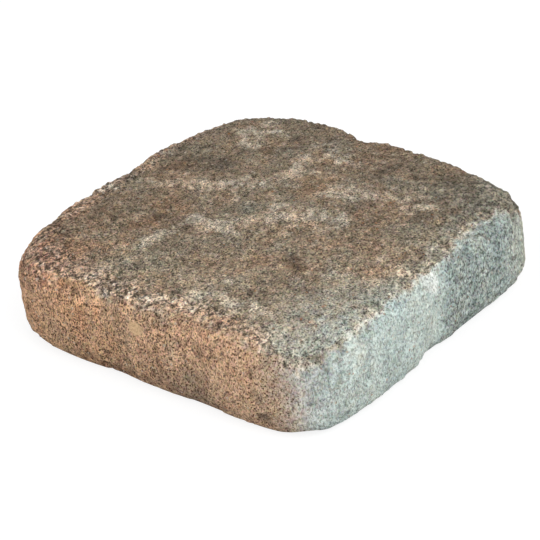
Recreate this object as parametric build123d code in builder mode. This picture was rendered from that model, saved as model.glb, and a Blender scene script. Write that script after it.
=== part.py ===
from build123d import *

import os
from math import cos, exp, hypot, pi, radians, sin, sqrt

# Square tumbled concrete paver, in millimetres. The origin is at the centre of its
# underside, +Z is up and the sides run along X and Y. The plan is a rounded square whose
# sides are dented by shallow hollows, the face is slightly pillowed and rippled, and
# tumbling has rounded every edge and worn dents into the rims.

# Driving dimensions
SIDE = 177.2
HEIGHT = 44.5

# Plan outline: squareness of the corners, and how much of it the worn shoulder loses
SQUARENESS = 5.8
SQUARENESS_LOST = 5.9
LEAST_SQUARENESS = 2.4
OUTLINE_POINTS = 90

# Worn foot and shoulder: how far each rolls in and how much of the wall it takes
FOOT_IN = 6.8
FOOT_RISE = 12.0
FOOT_STEPS = 7
SHOULDER_IN = 9.2
SHOULDER_DROP = 15.9
SHOULDER_STEPS = 9
SPARE = 2.0

# Unevenness of the outline: waves round it, size along X and size along Y
WAVES = [
    (1, -0.3, -0.4),
    (3, 0.4, 0.3),
    (5, -0.2, 0.1),
    (9, -0.1, -0.5),
]

# Corners fuller or more worn than the rest: plan angle and depth
CORNER_WEAR = [
    (45, -1.0),
    (135, -0.3),
    (225, 1.0),
    (315, 0.2),
]
CORNER_SPREAD = 14.0

# Hollows in the walls: plan position at mid height, depth, half width, lean along the wall
HOLLOWS = [
    (2.8, -89.0, 2.9, 12.0, 0.18),
    (23.0, -89.0, 0.6, 9.0, 0.10),
    (-89.0, -26.0, 2.8, 10.5, 0.05),
    (-89.0, 18.0, 1.4, 8.6, 0.05),
    (-1.0, 89.0, 0.9, 10.0, -0.10),
    (89.0, -28.0, 3.1, 11.0, 0.12),
    (89.0, 10.0, 2.6, 8.0, 0.0),
]
HOLLOW_KEENNESS = 3.0

# Pillowed face: drop at the middle of a side and at a corner, then the ripples
PILLOW_DROP = 2.7
CORNER_DROP = 2.0
RIPPLE_HEIGHT = 0.5
RIPPLE_SPACING = 42.0
RIPPLE_ANGLE = 68.0
SWAY_LENGTH = 150.0
FACE_STEPS = 20
FACE_REACH = 100.0

# Dents worn into the rims: centre, radius and depth, which is negative where it swells
DENTS = [
    (-79.0, -79.0, 44.0, 20.0, 4.4),
    (-86.0, -14.0, 43.0, 13.0, 3.2),
    (-84.0, -50.0, 45.0, 15.0, 1.8),
    (-84.0, 48.0, 45.0, 13.0, 1.2),
    (-6.0, -86.0, 45.0, 12.0, 1.8),
    (42.0, -85.0, 45.0, 13.0, 1.3),
    (86.0, 10.0, 44.0, 8.0, 2.4),
    (84.0, -50.0, 45.0, 11.0, 0.8),
    (46.0, 86.0, 44.0, 12.0, 1.6),
    (-30.0, 84.0, 45.0, 12.0, 0.8),
    (-87.0, -8.0, 0.0, 14.0, 1.0),
    (-2.0, -86.0, 0.0, 8.0, 1.8),
    (-52.0, -86.0, 2.0, 12.0, 1.0),
    (70.0, -84.0, 4.0, 14.0, -2.0),
    (86.0, 44.0, 0.0, 9.0, 1.8),
    (34.0, 86.0, 0.0, 9.0, 1.8),
]


def worn_away(x, y, z):
    """How deep the dents of the rims are at a point."""
    depth = 0.0
    for dent_x, dent_y, dent_z, radius, most in DENTS:
        away = hypot(x - dent_x, y - dent_y, z - dent_z)
        depth += most * exp(-((away / radius) ** 2))
    return depth


def wall_sections():
    """Height, inset and squareness of each outline, from the bed to above the face."""
    sections = []
    for step in range(FOOT_STEPS):
        turn = pi / 2 * step / FOOT_STEPS
        sections.append((FOOT_RISE * (1 - cos(turn)), FOOT_IN * (1 - sin(turn)), SQUARENESS))
    for step in range(SHOULDER_STEPS + 1):
        turn = pi / 2 * step / SHOULDER_STEPS
        rolled = 1 - cos(turn)
        squareness = max(SQUARENESS - SQUARENESS_LOST * rolled, LEAST_SQUARENESS)
        height = HEIGHT - SHOULDER_DROP * (1 - sin(turn))
        sections.append((height, SHOULDER_IN * rolled, squareness))
    sections.append((HEIGHT + SPARE, SHOULDER_IN, LEAST_SQUARENESS))
    return sections


def wall_point(turn, height, inset, squareness):
    """A point of the outline in one plan direction, worn and dented."""
    reach = SIDE / 2 - inset
    for count, along_x, along_y in WAVES:
        reach += along_x * cos(count * turn) + along_y * sin(count * turn)
    for angle, depth in CORNER_WEAR:
        off = (turn - radians(angle) + pi) % (2 * pi) - pi
        reach -= depth * exp(-((off / radians(CORNER_SPREAD)) ** 2))
    spread = (abs(cos(turn)) ** squareness + abs(sin(turn)) ** squareness) ** (1 / squareness)
    x = reach / spread * cos(turn)
    y = reach / spread * sin(turn)
    dent = 0.0
    for hollow_x, hollow_y, depth, half_width, lean in HOLLOWS:
        shift = (height - HEIGHT / 2) * lean
        on_x_wall = abs(hollow_x) > abs(hollow_y)
        centre_x = hollow_x if on_x_wall else hollow_x + shift
        centre_y = hollow_y + shift if on_x_wall else hollow_y
        away = hypot(x - centre_x, y - centre_y)
        soft = sqrt(away**2 + HOLLOW_KEENNESS**2) - HOLLOW_KEENNESS
        dent += depth * exp(-soft / half_width)
    shrink = 1 - dent / max(abs(x), abs(y))
    if abs(x) > abs(y):
        x = x * shrink
    else:
        y = y * shrink
    kept = 1 - worn_away(x, y, height) / hypot(x, y)
    return (x * kept, y * kept)


def face_height(x, y):
    """Height of the upper face above the bed."""
    across, along = abs(2 * x / SIDE), abs(2 * y / SIDE)
    drop = PILLOW_DROP * (across**4 + along**4) + CORNER_DROP * (across * along) ** 3
    direction = radians(RIPPLE_ANGLE)
    travel = x * cos(direction) + y * sin(direction)
    sway = sin(2 * pi * (x * sin(direction) - y * cos(direction)) / SWAY_LENGTH)
    ripple = RIPPLE_HEIGHT * cos(2 * pi * travel / RIPPLE_SPACING + sway)
    level = HEIGHT - RIPPLE_HEIGHT - drop + ripple
    return level - worn_away(x, y, level)


face_steps = [FACE_REACH * (2 * step / FACE_STEPS - 1) for step in range(FACE_STEPS + 1)]
face_points = [[Vector(x, y, face_height(x, y)) for y in face_steps] for x in face_steps]
upper_face = Face.make_surface_from_array_of_points(face_points)

with BuildPart() as paver:
    # The tumbled wall, lofted in narrow bands through closed outlines
    for height, inset, squareness in wall_sections():
        with BuildSketch(Plane.XY.offset(height)):
            with BuildLine():
                outline = [
                    wall_point(2 * pi * step / OUTLINE_POINTS, height, inset, squareness)
                    for step in range(OUTLINE_POINTS)
                ]
                Spline(outline, periodic=True)
            make_face()
    loft(ruled=True)

    # The pillowed, rippled face
    split(bisect_by=upper_face, keep=Keep.BOTTOM)

os.makedirs("parts", exist_ok=True)
paver.part.label = "paver"
export_step(paver.part, "parts/paver.step")
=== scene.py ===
import itertools
from math import cos, radians, sin

import bpy
import numpy as np
from mathutils import Matrix, Vector
from mathutils.bvhtree import BVHTree


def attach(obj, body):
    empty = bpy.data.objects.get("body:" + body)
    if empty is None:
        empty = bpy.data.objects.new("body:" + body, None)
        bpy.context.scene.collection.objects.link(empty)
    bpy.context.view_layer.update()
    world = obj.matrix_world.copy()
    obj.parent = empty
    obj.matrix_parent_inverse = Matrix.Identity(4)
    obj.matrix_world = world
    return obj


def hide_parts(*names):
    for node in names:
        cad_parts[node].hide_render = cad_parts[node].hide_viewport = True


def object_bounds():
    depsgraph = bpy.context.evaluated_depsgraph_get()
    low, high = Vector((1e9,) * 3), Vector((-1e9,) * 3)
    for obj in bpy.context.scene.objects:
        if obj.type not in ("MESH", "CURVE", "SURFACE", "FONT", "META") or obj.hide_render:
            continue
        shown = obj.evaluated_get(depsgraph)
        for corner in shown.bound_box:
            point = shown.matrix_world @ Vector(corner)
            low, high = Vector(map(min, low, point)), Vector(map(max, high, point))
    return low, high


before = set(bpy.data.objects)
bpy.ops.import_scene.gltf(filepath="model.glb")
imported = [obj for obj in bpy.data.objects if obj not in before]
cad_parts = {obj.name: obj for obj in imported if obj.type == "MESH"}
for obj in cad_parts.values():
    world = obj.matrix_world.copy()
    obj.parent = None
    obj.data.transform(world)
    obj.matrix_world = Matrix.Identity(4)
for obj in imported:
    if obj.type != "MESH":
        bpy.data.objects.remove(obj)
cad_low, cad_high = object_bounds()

# A tumbled concrete paver. Its mesh is cast onto the CAD solid and sunk by a relief of lumps,
# grains, pits and chips. Soft fields of tint, kept on the mesh, steer the concrete's nodes.
# The paver's sizes and places are in millimetres until its mesh is written, in metres. The
# floor, the lamps and the camera are placed in metres.
MM = 0.001
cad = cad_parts["paver"]
low = np.array(cad_low) / MM
high = np.array(cad_high) / MM
HALF = float(high[0])
TALL = float(high[2])

# Mesh layout: squares along a side, round the box and up a wall, insets of the rows that turn
# under, and how far inside the block the rays start
ALONG = 212
ROUND = 4 * ALONG
UP = 50
UNDER = (2.5, 5.0, 8.0)
CORE = 20.0

# Relief: how far the whole surface sinks, and the most it may before the chips. Then the depth
# of each kind of unevenness on the face, on the worn edges and on the walls, and what it gains
# near the rim of the face. The upright scores are on the walls only.
SUNK = 0.55
DEEPEST = 3.5
LUMP_DEPTH = (0.35, 0.9, 0.3, 0.35)
SMALL_DEPTH = (0.45, 0.8, 0.3, 0.4)
GRITTY_DEPTH = (0.35, 0.6, 0.25, 0.0)
PEBBLE_DEPTH = (0.35, 0.7, 0.15, 0.3)
FINE_DEPTH = (0.35, 0.4, 0.2, 0.0)
PIT_DEPTH = (0.6, 0.7, 0.45, 0.0)
SCORE_DEPTH = 0.25
BROAD_SCORE_DEPTH = 0.3

# Grains: where their rounding ends, in grain sizes, and the level that counts as no depth
GRAIN_EDGE = 0.75
GRAIN_LEVEL = 0.4

# Chips: round bites at random places on these rows of the upper and lower rims, with the range
# of their radius, how far a bite's centre stands off the surface as a share of the radius, and
# how much of the bite is taken
CHIPS = 110
UPPER_RIM = (1, 2, 3, 4, 6)
LOWER_RIM = (44, 46, 48, 50)
CHIP_RADIUS = (2.5, 7.0)
CHIP_LIFT = (0.6, 0.85)
CHIP_SHARE = 0.9

# The plan's squareness, the level at which the shoulder starts to fall, and where on the way
# out over it the wall's colour begins
SQUARENESS = 5.8
SHOULDER_LEVEL = 43
BORDER = 86

# Soft patches that steer the tints: centre, then reach along X, Y and Z
NEAR_SHOULDER = ((-77, -77, 40), (17, 17, 40))
LEFT_SHOULDER = ((-82, -30, 43), (20, 24, 40))
RIGHT_SHOULDER = ((38, -80, 43), (17, 24, 40))
RIGHT_RIM = ((68, -72, 42), (24, 20, 22))
MAUVE_CORNER = ((-84, -82, 28), (15, 13, 26))
COOL_CORNER = ((-58, -70, 40), (30, 18, 12))
CALM_CORNER = ((-62, -68, 42), (28, 22, 20))
RUSTY_CORNER = ((-84, 78, 41), (18, 30, 13))
# Painted shade at the foot of the warm wall
SHADED_FOOT = ((-86, -26, 8), (30, 12, 14))
WORN_DENT = ((-86, -18, 46), (30, 9, 5))
LIGHT_WALL = ((-86, -54, 26), (30, 16, 18))
LIGHT_RIM = ((-70, 50, 43), (24, 30, 9))
BEIGE_STONE = ((-88, 2.5, 30.5), (30, 3.7, 3.3))
WHITE_SPOT = ((-2, -86, 39), (6.5, 30, 10))

# The white spot leans along the wall by this much for each millimetre above this level
WHITE_LEAN = 0.3
WHITE_LEVEL = 40

# Bands of tint in the face: their turn in plan, and how much longer they are than wide
BAND_ANGLE = 49.0
BAND_STRETCH = 0.45

# Pale streaks of the face, painted highlight where its ridges catch the light: stops along each in plan,
# half width and strength
RIDGE_HIGHLIGHTS = (
    (((-5, 75), (0, 50), (20, 18), (50, 14)), 4.5, 0.75),
    (((-45, 29), (-24, 27), (-20, 8), (0, -3)), 5.0, 0.9),
    (((0, -3), (6, -18), (10, -32)), 6.0, 0.7),
    (((30, -16), (40, -34), (38, -50)), 8.0, 0.8),
    (((5, 24), (1, 12)), 4.0, 0.7),
    (((56, 60), (44, 44)), 5.0, 0.7),
    (((70, 54), (65, 42)), 4.0, 0.5),
    (((64, 20), (60, 2)), 5.0, 0.5),
    (((-28, -45), (-25, -56)), 4.0, 0.6),
    (((-65, -36), (-65, -42)), 5.0, 0.7),
    (((-74, -4), (-65, -26)), 5.0, 0.6),
    (((-25, -74), (0, -74)), 4.0, 0.3),
)
HAZE_WIDTH = 2.5

# Darker, redder and bluer patches of the face: plan position and size
FACE_LEVEL = 44
FACE_SPREAD = 30
DARK_PATCHES = (
    (15, 65, 14),
    (25, 50, 13),
    (-35, 66, 9),
    (60, 30, 9),
    (58, -22, 11),
    (65, -52, 13),
    (-70, 10, 9),
    (35, -57, 11),
    (-62, 66, 10),
    (4, -50, 10),
    (-30, -40, 8),
)
RED_PATCHES = (
    (-22, 42, 12),
    (30, -6, 11),
    (-60, 68, 14),
    (-56, 48, 9),
    (-36, -24, 8),
)
BLUE_PATCHES = (
    (-52, -20, 10),
    (64, 8, 9),
    (-4, 10, 7),
    (-28, -80, 10),
    (-52, -52, 8),
)

# Large odd numbers that stir the bits of a cell's place and seed
STIR_X, STIR_Y, STIR_Z, STIR_SEED = 73856093, 19349663, 83492791, 2654435761
STIR_AGAIN, STIR_LAST = 1274126177, 2246822519
LOW_32_BITS = 0xFFFFFFFF
LOW_24_BITS = 0xFFFFFF


# Noise

def hash01(cell, seed):
    """A repeatable number from 0 to 1 for each whole-number cell."""
    c = cell.astype(np.int64)
    n = c[..., 0] * STIR_X ^ c[..., 1] * STIR_Y ^ c[..., 2] * STIR_Z ^ (seed * STIR_SEED)
    n = (n ^ (n >> 13)) * STIR_AGAIN & LOW_32_BITS
    n = (n ^ (n >> 16)) * STIR_LAST & LOW_32_BITS
    n = n ^ (n >> 15)
    return (n & LOW_24_BITS) / float(LOW_24_BITS)


def value_noise(p, size, seed):
    """Smooth noise from -1 to 1 with features of about this size."""
    q = p / size
    base = np.floor(q)
    f = q - base
    f = f * f * f * (f * (f * 6 - 15) + 10)
    total = np.zeros(len(p))
    for corner in itertools.product((0, 1), repeat=3):
        weight = np.prod(np.where(corner, f, 1 - f), axis=1)
        total += weight * hash01(base + corner, seed)
    return total * 2 - 1


def layered(p, size, seed, layers=3, fall=0.5):
    """Several sizes of smooth noise added together."""
    total = np.zeros(len(p))
    weight, norm = 1.0, 0.0
    for layer in range(layers):
        total += weight * value_noise(p, size / 2**layer, seed + layer * 17)
        norm += weight
        weight *= fall
    return total / norm


def grains(p, size, seed):
    """Hollows between round grains of this size: 0 at a grain's centre and 1 between them."""
    q = p / size
    base = np.floor(q)
    nearest = np.full(len(p), np.inf)
    for step in itertools.product((-1, 0, 1), repeat=3):
        cell = base + step
        jitter = np.stack([hash01(cell, seed + axis) for axis in range(3)], 1)
        nearest = np.minimum(nearest, np.linalg.norm(cell + jitter - q, axis=1))
    return np.clip(nearest / GRAIN_EDGE, 0, 1) ** 2


def smoothstep(x, a, b):
    """A soft step from 0 at a to 1 at b."""
    t = np.clip((x - a) / (b - a), 0, 1)
    return t * t * (3 - 2 * t)


def patch(p, place):
    """A soft patch, 1 at its centre."""
    centre, reach = place
    return np.exp(-np.sum(((p - centre) / reach) ** 2, axis=1))


def face_patches(p, places):
    """Soft round patches of the face, added together."""
    return sum(patch(p, ((px, py, FACE_LEVEL), (size, size, FACE_SPREAD))) for px, py, size in places)


def off_line(p, stops):
    """Distance in plan from a line through these points."""
    nearest = np.full(len(p), np.inf)
    for start, end in zip(stops, stops[1:]):
        start, run = np.array(start, float), np.subtract(end, start).astype(float)
        t = np.clip((p[:, :2] - start) @ run / (run @ run), 0, 1)
        nearest = np.minimum(nearest, np.linalg.norm(p[:, :2] - start - t[:, None] * run, axis=1))
    return nearest


# Points on a box round the paver, before they are cast onto it

def top_point(column, row):
    """The number of a point of the box's top."""
    return column * (ALONG + 1) + row


def top_rim(i):
    """The number of the point of the top that is i-th round its edge."""
    side, step = divmod(i, ALONG)
    return top_point(*((step, 0), (ALONG, step), (ALONG - step, ALONG), (0, ALONG - step))[side])


def perimeter(i):
    """The i-th point round the box in plan, anticlockwise from its lowest corner."""
    side, step = divmod(i, ALONG)
    t = -HALF + 2 * HALF * step / ALONG
    return ((t, -HALF), (HALF, t), (-t, HALF), (-HALF, -t))[side]


def add_row(share, level):
    """Add a row of points round the box, drawn in to this share, and give their numbers."""
    first = len(points)
    points.extend((px * share, py * share, level) for px, py in map(perimeter, range(ROUND)))
    return list(range(first, first + ROUND))


grid = [-HALF + 2 * HALF * step / ALONG for step in range(ALONG + 1)]
points = [(px, py, TALL) for px in grid for py in grid]
rows = [[top_rim(i) for i in range(ROUND)]]
rows += [add_row(1.0, TALL * step / UP) for step in range(UP - 1, -1, -1)]
rows += [add_row((HALF - inset) / HALF, 0.0) for inset in UNDER]

faces = []
for i in range(ALONG):
    for j in range(ALONG):
        square = ((i, j), (i + 1, j), (i + 1, j + 1), (i, j + 1))
        faces.append(tuple(top_point(*corner) for corner in square))
for upper, lower in zip(rows, rows[1:]):
    for i in range(ROUND):
        following = (i + 1) % ROUND
        faces.append((upper[i], lower[i], lower[following], upper[following]))
faces.append(tuple(reversed(rows[-1])))

# Cast each point from the core of the block outwards onto the CAD surface
points = np.array(points)
core = points.copy()
core[:, :2] = np.clip(core[:, :2], -(HALF - CORE), HALF - CORE)
core[:, 2] = np.clip(core[:, 2], CORE, TALL - CORE)
away = points - core
away /= np.linalg.norm(away, axis=1)[:, None]
tree = BVHTree.FromPolygons(
    [v.co / MM for v in cad.data.vertices],
    [tuple(p.vertices) for p in cad.data.polygons],
)
surface = points.copy()
for n in range(len(points)):
    hit = tree.ray_cast(Vector(core[n]), Vector(away[n]))[0]
    if hit is not None:
        surface[n] = hit

mesh = bpy.data.meshes.new("paver_body")
mesh.from_pydata(surface.tolist(), [], faces)
mesh.update()
normals = np.zeros(len(surface) * 3)
mesh.vertices.foreach_get("normal", normals)
normals = normals.reshape(-1, 3)

# Where each point is: on the upper face, on a wall, on the bed, on a worn edge between them,
# or near the rim of the face
up = smoothstep(normals[:, 2], 0.55, 0.95)
wall = 1 - smoothstep(np.abs(normals[:, 2]), 0.25, 0.6)
under = smoothstep(-normals[:, 2], 0.6, 0.95)
edge = np.clip(1 - up - wall - under, 0, 1)
rim = smoothstep(np.max(np.abs(surface[:, :2]), axis=1), 60, 84) * up


# Relief, as a depth below the CAD surface

def by_place(depths):
    """The depth of a kind of relief at each point."""
    face_depth, edge_depth, wall_depth, rim_depth = depths
    return face_depth * up + edge_depth * edge + wall_depth * wall + rim_depth * rim


lumps = layered(surface, 16.0, 11, 3)
small = layered(surface, 5.0, 23, 3)
gritty = layered(surface, 2.4, 29, 2)
scores = layered(surface * (1.0, 1.0, 0.08), 2.2, 71, 2, 0.7)
broad_scores = layered(surface * (1.0, 1.0, 0.15), 7.0, 83, 2)
pits = smoothstep(value_noise(surface, 3.3, 97), 0.45, 0.8)

depth = SUNK + by_place(LUMP_DEPTH) * lumps
depth += by_place(SMALL_DEPTH) * small
depth += by_place(GRITTY_DEPTH) * gritty
depth += by_place(PEBBLE_DEPTH) * (grains(surface, 3.0, 41) - GRAIN_LEVEL)
depth += by_place(FINE_DEPTH) * (grains(surface, 1.8, 57) - GRAIN_LEVEL)
depth += wall * (SCORE_DEPTH * scores + BROAD_SCORE_DEPTH * broad_scores)
depth += by_place(PIT_DEPTH) * pits
depth = np.clip(depth, 0.0, DEEPEST) * (1 - under)

rng = np.random.default_rng(7)
for n in range(CHIPS):
    row = rows[int(rng.choice(UPPER_RIM if n % 3 else LOWER_RIM))]
    at = row[int(rng.integers(0, ROUND))]
    radius = float(rng.uniform(*CHIP_RADIUS))
    centre = surface[at] + normals[at] * radius * float(rng.uniform(*CHIP_LIFT))
    gap = np.linalg.norm(surface - normals * depth[:, None] - centre, axis=1)
    uneven = radius * (1 + 0.15 * small + 0.06 * gritty)
    depth = np.where(gap < uneven, depth + (uneven - gap) * CHIP_SHARE, depth)

relief = surface - normals * depth[:, None]
relief[:, :2] = np.clip(relief[:, :2], low[:2], high[:2])
relief[:, 2] = np.clip(relief[:, 2], 0.0, high[2])
mesh.vertices.foreach_set("co", (relief * MM).ravel())
mesh.update()

for polygon in mesh.polygons:
    polygon.use_smooth = True
mesh.polygons[len(faces) - 1].use_smooth = False

# Noise for the tints: bands across the face, mottling, clusters, broad areas, and streaks
# that run up the walls
x, y, z = surface.T
turned = radians(BAND_ANGLE)
across = x * cos(turned) - y * sin(turned)
along = x * sin(turned) + y * cos(turned)
bands = layered(np.stack([across * BAND_STRETCH, along, z * 0.5], 1), 20.0, 131, 4, 0.7)
mottle = layered(surface, 7.0, 137, 4, 0.75)
clusters = layered(surface, 3.6, 139, 3, 0.8)
broad = layered(surface, 30.0, 151, 2)
streaked = layered(surface * (1.0, 1.0, 0.22), 9.0, 157, 3, 0.7)
gravel = value_noise(surface, 2.3, 167)

# How far out over the shoulder each point is, and where there the wall's colour begins
outward = (np.abs(x) ** SQUARENESS + np.abs(y) ** SQUARENESS) ** (1 / SQUARENESS)
outward = outward + np.maximum(SHOULDER_LEVEL - z, 0)
border = BORDER + 9.0 * patch(surface, NEAR_SHOULDER) - 6.0 * patch(surface, LEFT_SHOULDER)
border = border + 16.0 * smoothstep(x, 54, 80) - 7.0 * patch(surface, RIGHT_SHOULDER)
border = border + 2.0 * smoothstep(y, 30, 70) + 2.0 * lumps + 3.4 * small + 1.6 * gritty
on_wall = smoothstep(outward, border - 3.5, border + 4.5)
on_face = 1 - on_wall

# Round the walls, from the warm side to the cool one
side_x, side_y = normals[:, 0], normals[:, 1]
level_part = np.sqrt(side_x**2 + side_y**2 + 1e-6)
round_wall = x - y + (9.0 * small + 6.0 * lumps) * (1 + smoothstep(x + y, 0, 80))
cool = smoothstep(round_wall, -30, 8) * smoothstep((side_x - side_y) / level_part, -1.2, 0.4)
cool = cool * on_wall
warm = (1 - cool) * on_wall
mauve = patch(surface, MAUVE_CORNER) * on_wall
cool_corner = 0.32 * patch(surface, COOL_CORNER) * up * (1 + gritty)
lobe = smoothstep(x + 2.0 * small, 2, 16) * cool
lobe_tan = lobe * smoothstep(x + 8.0 * small, 44, 76)
lobe = lobe * (1 - 0.45 * smoothstep(z + 3.0 * small, 30, 42)) * (1 - 0.5 * lobe_tan)

# The rim of the face, grey on the cool side and pinkish on the warm one
rusty = np.clip(1.2 * patch(surface, RUSTY_CORNER) * (1 + small + 0.5 * gritty), 0, 1)
grey_side = smoothstep(x - y + 8.0 * small, -34, 6)
rim_band = smoothstep(outward + 2.5 * lumps, border - 16, border - 6) * on_face
rim_grey = rim_band * grey_side + 0.9 * patch(surface, RIGHT_RIM) * (1 + small)
rim_grey = np.clip(rim_grey, 0, 1) * on_face
rim_pink = rim_band * (1 - grey_side)

# Pale mottling of the face's own colour, and the painted highlight along its ridges, each streak with a
# thin haze round it
pale_and_highlight = 0.12 * smoothstep(bands, 0.0, 0.5)
for stops, half_width, strength in RIDGE_HIGHLIGHTS:
    off = (off_line(surface, stops) + 4.0 * lumps + 2.5 * small) / half_width
    pale_and_highlight = pale_and_highlight + strength * (0.66 * np.exp(-(off**2)) + 0.14 * np.exp(-((off / HAZE_WIDTH) ** 2)))
pale_and_highlight = pale_and_highlight * (1 + 0.9 * clusters) + 0.55 * mottle + 0.35 * clusters
pale_and_highlight = smoothstep(pale_and_highlight, 0.16, 0.85) * on_face

# Dark patches of the face, soot in the streaks of the walls, and painted shade low down the walls and at
# the foot of the warm wall
dark = 0.4 * smoothstep(-bands, 0.0, 0.5) + 0.55 * face_patches(surface, DARK_PATCHES)
dark = smoothstep(dark - 0.5 * mottle + 0.25 * clusters, 0.2, 1.0)
dark = dark * (1 - pale_and_highlight) * (1 - 0.5 * rim_grey) * on_face
painted_low_shade = 0.35 * smoothstep(z, 22, 3) + 0.65 * patch(surface, SHADED_FOOT)
soot_and_painted_shade = smoothstep(streaked + painted_low_shade, 0.12, 0.85) * on_wall * (1 - 0.8 * cool)
# The dark field also carries the painted shade of the walls
dark = np.clip(dark + 0.7 * soot_and_painted_shade, 0, 1)

# The worn line where face and wall meet, its crumbs, and the wall's faded part
worn = np.exp(-(((outward - border - 0.5) / 4.0) ** 2)) * smoothstep(z, 22, 36)
worn = worn * (0.35 + 1.1 * small + 0.8 * clusters) * (1 - 0.5 * cool)
worn = np.clip(worn + 0.6 * patch(surface, WORN_DENT) * (1 + clusters), 0, 1)
crumbly = 0.35 * rim_grey + rim_pink + 0.8 * rusty + 0.25 * on_face + worn
crumbs = smoothstep(gravel + 0.3 * mottle, 0.42, 0.72) * np.clip(crumbly, 0, 1)
faded = 0.42 * warm * smoothstep(-y, -35, 15)

# Single marks: a beige stone in the warm wall and a white spot at the top of the cool one
blob = smoothstep(patch(surface, BEIGE_STONE) + 0.08 * gritty, 0.34, 0.48)
leaning = surface + np.outer(z - WHITE_LEVEL, (WHITE_LEAN, 0, 0))
whitish = smoothstep(patch(leaning, WHITE_SPOT) + 0.25 * small, 0.3, 0.75) * cool

# Drift of the colour towards red, or below nothing towards blue
hue = layered(surface * (1, 1, 0.6), 13.0, 163, 4, 0.75) * 1.5 * on_face
hue = hue + 0.7 * face_patches(surface, RED_PATCHES) * (1 + small)
hue = hue - 0.7 * face_patches(surface, BLUE_PATCHES) * (1 + small)
hue = hue + streaked * on_wall * (1.2 - 0.6 * cool) + 0.35 * layered(surface, 3.0, 173, 2)
hue = hue - 0.15 * up * smoothstep(-y, 20, 80)

# Brightness, contrast of the grain, and how coarse the grain is
towards_near = smoothstep(-x - y, 0, 90)
towards_left = smoothstep(y - x, 30, 130)
tone = 1.04 + (0.44 * towards_near + 0.06 * towards_left) * on_face
tone = tone - 0.04 * smoothstep(x, 20, 75) * up
tone = tone * (1 + 0.12 * bands + 0.30 * mottle) * (1 - 0.06 * lobe)
tone = tone * (1 + 0.22 * streaked * on_wall + 0.25 * cool + 0.15 * warm)
# Painted shade: the warm wall is darker low down, and lighter higher up
tone = tone * (1 + 0.14 * warm * (smoothstep(z + 4.0 * lumps, 8, 34) - 0.45))
tone = tone * (1 + 0.08 * patch(surface, LIGHT_WALL) + 0.08 * patch(surface, LIGHT_RIM))
contrast = 1.7 + 0.4 * smoothstep(-x - y, -60, 60) + 0.4 * towards_left - 0.35 * rim_grey
contrast = contrast * on_face + (1.8 - 0.55 * smoothstep(-y, 0, 60)) * warm
contrast = (contrast + 0.92 * cool + 0.82 * lobe) * (1 - 0.9 * blob)
contrast = contrast * (1 - 0.3 * patch(surface, CALM_CORNER))
coarse = 0.55 * rim_grey + rim_pink + 1.1 * rusty + 0.35 * on_face + 0.5 * lobe
coarse = np.clip(coarse, 0, 1.2) * (1 - blob)

for name, values in (
    ("cool", np.clip(cool + cool_corner, 0, 1)),
    ("warm", warm),
    ("mauve", mauve),
    ("lobe", lobe),
    ("lobe_tan", lobe_tan),
    ("rusty", rusty),
    ("rim_grey", rim_grey),
    ("rim_pink", rim_pink),
    ("pale_and_highlight", pale_and_highlight),
    ("dark", dark),
    ("worn", np.clip(worn + faded, 0, 1)),
    ("crumbs", crumbs),
    ("blob", blob),
    ("whitish", whitish),
    ("redder", np.clip(hue, 0, 1)),
    ("bluer", np.clip(-hue, 0, 1)),
    ("brown", np.clip(0.5 + 0.9 * broad, 0, 1)),
    ("face_up", on_face),
    # How deep the relief sinks, kept for the painted shade in its hollows
    ("painted_hollow_shade", np.clip(depth / 1.6, 0, 1)),
    ("tone", tone),
    ("contrast", contrast),
    ("coarse", coarse),
):
    attribute = mesh.attributes.new(name, "FLOAT", "POINT")
    attribute.data.foreach_set("value", values.astype(np.float32))

body = bpy.data.objects.new("paver_body", mesh)
bpy.context.scene.collection.objects.link(body)


# Concrete

def linear(r, g, b):
    """A colour given as 0 to 255 screen values, as the linear one the shader needs."""
    shares = [c / 255 for c in (r, g, b)]
    return (*(c / 12.92 if c <= 0.04045 else ((c + 0.055) / 1.055) ** 2.4 for c in shares), 1.0)


OLIVE = linear(147, 135, 115)
BROWN = linear(148, 128, 106)
RIM_GREY = linear(154, 150, 134)
RIM_PINK = linear(164, 138, 118)
TAN = linear(200, 161, 127)
COOL = linear(193, 204, 197)
SLATE = linear(164, 174, 168)
CREAM = linear(186, 184, 166)
MAUVE = linear(172, 166, 165)
# The pale colour of the face, also laid on as painted highlight along its ridges
PALE_AND_HIGHLIGHT = linear(194, 180, 160)
DARK = linear(107, 91, 75)
RUSTY = linear(150, 112, 94)
WORN_WARM = linear(188, 170, 150)
WORN_COOL = linear(198, 202, 194)
WHITISH = linear(232, 235, 228)
CRUMB = linear(206, 190, 172)
BEIGE = linear(228, 194, 152)
BROWN_DOT = linear(156, 104, 68)
RUST_SAND = linear(184, 118, 66)
CHALK_SAND = linear(218, 208, 192)
SLATE_SAND = linear(78, 74, 70)

# What red and blue drift multiply the colour by
REDDER = (1.10, 0.95, 0.86, 1)
BLUER = (0.89, 0.97, 1.02, 1)

material = bpy.data.materials.new("tumbled_concrete")
material.use_nodes = True
nodes = material.node_tree.nodes
links = material.node_tree.links
nodes.clear()
output = nodes.new("ShaderNodeOutputMaterial")
shader = nodes.new("ShaderNodeBsdfPrincipled")
links.new(shader.outputs["BSDF"], output.inputs["Surface"])
shader.inputs["Specular IOR Level"].default_value = 0.25
place = nodes.new("ShaderNodeTexCoord").outputs["Object"]


def feed(sockets, values):
    """Link or set each socket, as its value is another node's output or a number."""
    for socket, value in zip(sockets, values):
        if isinstance(value, bpy.types.NodeSocket):
            links.new(value, socket)
        else:
            socket.default_value = value


def field(name):
    """One of the tints kept on the mesh."""
    node = nodes.new("ShaderNodeAttribute")
    node.attribute_name = name
    return node.outputs["Fac"]


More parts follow.
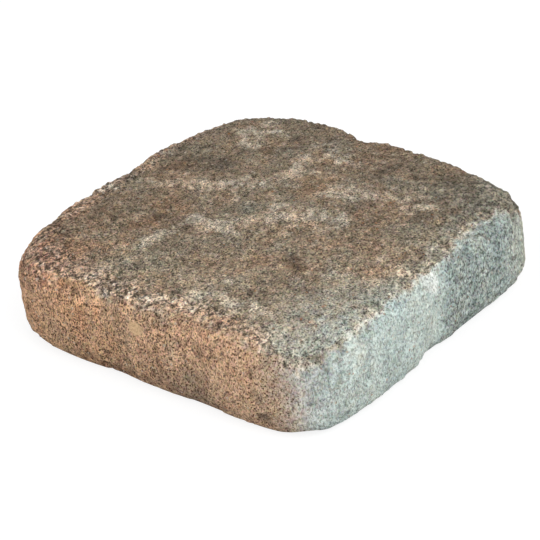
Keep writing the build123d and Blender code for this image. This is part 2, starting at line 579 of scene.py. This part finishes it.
def mix(factor, a, b, kind="MIX"):
    """One colour laid over another."""
    node = nodes.new("ShaderNodeMix")
    node.data_type = "RGBA"
    node.blend_type = kind
    feed((node.inputs[0], node.inputs[6], node.inputs[7]), (factor, a, b))
    return node.outputs[2]


def mix_value(factor, a, b):
    """A number between two others."""
    node = nodes.new("ShaderNodeMix")
    feed((node.inputs[0], node.inputs[2], node.inputs[3]), (factor, a, b))
    return node.outputs[0]


def math_node(kind, a, b, clamp=False):
    """The result of a sum, product or the like."""
    node = nodes.new("ShaderNodeMath")
    node.operation = kind
    node.use_clamp = clamp
    feed(node.inputs, (a, b))
    return node.outputs[0]


def times(a, b, clamp=False):
    """The product of two values."""
    return math_node("MULTIPLY", a, b, clamp)


def plus(a, b):
    """The sum of two values."""
    return math_node("ADD", a, b)


def minus(a, b):
    """The first value less the second."""
    return math_node("SUBTRACT", a, b)


def span(value, from_low, from_high, to_low=0.0, to_high=1.0):
    """A soft step from one range of values to another."""
    node = nodes.new("ShaderNodeMapRange")
    node.interpolation_type = "SMOOTHSTEP"
    feed(node.inputs, (value, from_low, from_high, to_low, to_high))
    return node.outputs[0]


def noise(size, detail, roughness, vector):
    """Noise with features of about this many millimetres."""
    node = nodes.new("ShaderNodeTexNoise")
    links.new(vector, node.inputs["Vector"])
    node.inputs["Scale"].default_value = 1 / (size * MM)
    node.inputs["Detail"].default_value = detail
    node.inputs["Roughness"].default_value = roughness
    return node.outputs["Fac"]


def grain(size):
    """Grains of about this many millimetres: distance and a random colour."""
    node = nodes.new("ShaderNodeTexVoronoi")
    links.new(place, node.inputs["Vector"])
    node.inputs["Scale"].default_value = 1 / (size * MM)
    return node.outputs


def channels(colour):
    """The three parts of a colour."""
    node = nodes.new("ShaderNodeSeparateColor")
    links.new(colour, node.inputs[0])
    return node.outputs


face_up = field("face_up")
cool_side = field("cool")
warm_side = field("warm")


def by_zone(size, detail, roughness, shift):
    """Noise that is round on the face and drawn out upwards on the walls."""
    picks = []
    for lengthen in (0.5, 0.72, 1.0):
        node = nodes.new("ShaderNodeMapping")
        node.inputs["Location"].default_value = (shift, shift * 0.7, -shift)
        node.inputs["Scale"].default_value = (1.0, 1.0, lengthen)
        links.new(place, node.inputs["Vector"])
        picks.append(noise(size, detail, roughness, node.outputs[0]))
    cool_noise, warm_noise, top_noise = picks
    return mix_value(face_up, mix_value(cool_side, warm_noise, cool_noise), top_noise)


# Large areas of the cast colour: the field of each, its share and its colour
colour = mix(field("brown"), OLIVE, BROWN)
for name, share, over in (
    ("rim_grey", 0.75, RIM_GREY),
    ("rim_pink", 0.6, RIM_PINK),
    ("warm", 1.0, TAN),
    ("cool", 1.0, COOL),
    ("lobe", 1.0, SLATE),
    ("lobe_tan", 0.55, CREAM),
    ("mauve", 0.6, MAUVE),
    ("pale_and_highlight", 1.0, PALE_AND_HIGHLIGHT),
    ("dark", 1.0, DARK),
    ("rusty", 0.75, RUSTY),
    ("worn", 0.7, mix(cool_side, WORN_WARM, WORN_COOL)),
    ("whitish", 0.8, WHITISH),
    ("crumbs", 0.75, CRUMB),
):
    colour = mix(times(field(name), share), colour, over)
colour = mix(field("redder"), colour, REDDER, "MULTIPLY")
colour = mix(field("bluer"), colour, BLUER, "MULTIPLY")

# Grain: dark pores and pinholes, light flecks, dust, clumps, and coarse grain near the rims
pore = span(by_zone(0.72, 2.0, 0.65, 0.0), 0.50, 0.62)
fleck = span(by_zone(0.8, 2.0, 0.6, 0.31), 0.53, 0.66)
dust = by_zone(0.38, 2.0, 0.7, 0.57)
rough_grain = span(noise(1.9, 3.0, 0.6, place), 0.36, 0.64, -0.3, 0.3)
clump = span(noise(2.6, 3.0, 0.65, place), 0.36, 0.64, -0.13, 0.13)
holes = grain(1.25)
is_hole = span(channels(holes["Color"])[0], 0.35, 0.5)
pinhole = times(span(holes["Distance"], 0.16, 0.40, 1.0, 0.0), is_hole)
pinhole = times(pinhole, span(cool_side, 0.0, 1.0, 0.85, 0.25))
grit = times(fleck, span(face_up, 0.0, 1.0, 0.26, 0.5))
grit = minus(grit, times(pore, span(face_up, 0.0, 1.0, 0.36, 0.32)))
grit = minus(grit, pinhole)
grit = plus(grit, times(rough_grain, field("coarse")))
grit = plus(grit, span(dust, 0.3, 0.7, -0.2, 0.2))
grit = plus(grit, clump)
shade = math_node("MAXIMUM", plus(times(grit, field("contrast")), 1.0), 0.22)
shade = times(shade, field("tone"))
# Painted shade: the colour darkens where the relief sinks deepest
shade = times(shade, span(field("painted_hollow_shade"), 0.45, 1.0, 1.0, 0.62))
brown_dots = times(plus(pinhole, times(pore, 0.4)), warm_side, clamp=True)
colour = mix(times(brown_dots, 0.8), colour, BROWN_DOT)
colour = mix(1.0, colour, shade, "MULTIPLY")
colour = mix(0.09, colour, grain(0.9)["Color"], "OVERLAY")

# Sand of other colours: the part of a grain's random colour that picks it, and its share
sand = grain(1.5)
sand_picks = channels(sand["Color"])
sand_spot = minus(1.0, span(sand["Distance"], 0.2, 0.5))
for pick, pick_low, pick_high, share, over in (
    (sand_picks[0], 0.96, 0.99, 0.55, RUST_SAND),
    (sand_picks[1], 0.88, 1.0, 0.6, CHALK_SAND),
    (sand_picks[2], 0.88, 0.96, 0.6, SLATE_SAND),
):
    colour = mix(times(times(span(pick, pick_low, pick_high), sand_spot), share), colour, over)
colour = mix(times(field("blob"), 0.85), colour, BEIGE)
links.new(colour, shader.inputs["Base Color"])
links.new(span(dust, 0.25, 0.75, 0.84, 1.0), shader.inputs["Roughness"])

bump = nodes.new("ShaderNodeBump")
bump.inputs["Strength"].default_value = 0.9
bump.inputs["Distance"].default_value = 0.5 * MM
links.new(plus(minus(times(fleck, 0.5), pore), dust), bump.inputs["Height"])
links.new(bump.outputs[0], shader.inputs["Normal"])

mesh.materials.append(material)
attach(body, "root")
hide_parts("paver")


# Floor, world and lamps

WHITE = (1, 1, 1, 1)
FLOOR_GREY = (0.8, 0.8, 0.8, 1)
FLOOR_HALF = 6.0
FLOOR_GLOW = 1.16
FLOOR_GLOW_SHARE = 0.72
WORLD_LIGHT = 0.7


def add(node_tree, kind, **values):
    """A node of this kind with these inputs set."""
    node = node_tree.nodes.new(kind)
    for name, value in values.items():
        node.inputs[name].default_value = value
    return node


def directly_seen(node_tree):
    """One for rays from the camera, by mirror or through glass, nothing for the rest."""
    path = node_tree.nodes.new("ShaderNodeLightPath")
    total = path.outputs["Is Camera Ray"]
    for name in ("Is Glossy Ray", "Is Transmission Ray"):
        node = node_tree.nodes.new("ShaderNodeMath")
        node.operation = "ADD"
        node.use_clamp = True
        node_tree.links.new(total, node.inputs[0])
        node_tree.links.new(path.outputs[name], node.inputs[1])
        total = node.outputs[0]
    return total


def blend(node_tree, factor, first, second, last):
    """Send a blend of two shaders to the last node's surface."""
    node = node_tree.nodes.new("ShaderNodeMixShader")
    node_tree.links.new(factor, node.inputs[0])
    node_tree.links.new(first.outputs[0], node.inputs[1])
    node_tree.links.new(second.outputs[0], node.inputs[2])
    node_tree.links.new(node.outputs[0], last.inputs["Surface"])


floor_mesh = bpy.data.meshes.new("floor")
corners = [(-1, -1), (1, -1), (1, 1), (-1, 1)]
floor_mesh.from_pydata([(fx * FLOOR_HALF, fy * FLOOR_HALF, 0) for fx, fy in corners], [], [(0, 1, 2, 3)])
floor = bpy.data.objects.new("floor", floor_mesh)
bpy.context.scene.collection.objects.link(floor)
floor_paint = bpy.data.materials.new("pale_floor")
floor_paint.use_nodes = True
floor_tree = floor_paint.node_tree
floor_tree.nodes.clear()
glow_share = add(floor_tree, "ShaderNodeMath")
glow_share.operation = "MULTIPLY"
glow_share.inputs[1].default_value = FLOOR_GLOW_SHARE
floor_tree.links.new(directly_seen(floor_tree), glow_share.inputs[0])
blend(
    floor_tree,
    glow_share.outputs[0],
    add(floor_tree, "ShaderNodeBsdfDiffuse", Color=FLOOR_GREY),
    add(floor_tree, "ShaderNodeEmission", Color=WHITE, Strength=FLOOR_GLOW),
    add(floor_tree, "ShaderNodeOutputMaterial"),
)
floor_mesh.materials.append(floor_paint)

world = bpy.data.worlds.new("studio")
bpy.context.scene.world = world
world.use_nodes = True
world.node_tree.nodes.clear()
blend(
    world.node_tree,
    directly_seen(world.node_tree),
    add(world.node_tree, "ShaderNodeBackground", Color=WHITE, Strength=WORLD_LIGHT),
    add(world.node_tree, "ShaderNodeBackground", Color=WHITE, Strength=1.0),
    add(world.node_tree, "ShaderNodeOutputWorld"),
)


def area_lamp(name, direction, distance, size, strength):
    """A square soft lamp that points at the paver."""
    data = bpy.data.lights.new(name, "AREA")
    data.shape = "SQUARE"
    data.size = size
    data.energy = strength
    lamp = bpy.data.objects.new(name, data)
    towards = Vector(direction).normalized()
    lamp.location = towards * distance
    lamp.rotation_euler = towards.to_track_quat("Z", "Y").to_euler()
    bpy.context.scene.collection.objects.link(lamp)


area_lamp("key", (-0.2, -0.9, 1.1), 1.6, 1.0, 9.0)
area_lamp("fill", (-1.0, 0.2, 0.8), 1.6, 1.2, 4.0)

# Camera, at the photograph's viewing angle: angles in degrees, distance and target in metres,
# focal length from its size in pixels
AZIMUTH, ELEVATION, ROLL = -49.32, 30.72, -4.61
DISTANCE = 0.8451
TARGET = Vector((-0.01071, -0.006775, 0.02225))
FOCAL_PIXELS = 1951.1
PICTURE_PIXELS = 540
SENSOR = 36

azimuth, elevation, roll = (radians(angle) for angle in (AZIMUTH, ELEVATION, ROLL))
back = Vector((sin(azimuth) * cos(elevation), -cos(azimuth) * cos(elevation), sin(elevation)))
right = Vector((cos(azimuth), sin(azimuth), 0))
upward = back.cross(right)
rolled_right = right * cos(roll) + upward * sin(roll)
rolled_up = upward * cos(roll) - right * sin(roll)
camera_data = bpy.data.cameras.new("camera")
camera_data.sensor_width = SENSOR
camera_data.lens = FOCAL_PIXELS / PICTURE_PIXELS * SENSOR
camera_data.clip_end = 50
camera = bpy.data.objects.new("camera", camera_data)
turn = Matrix((rolled_right, rolled_up, back)).transposed().to_4x4()
camera.matrix_world = Matrix.Translation(TARGET + back * DISTANCE) @ turn
bpy.context.scene.collection.objects.link(camera)
bpy.context.scene.camera = camera
bpy.context.scene.view_settings.view_transform = "Standard"
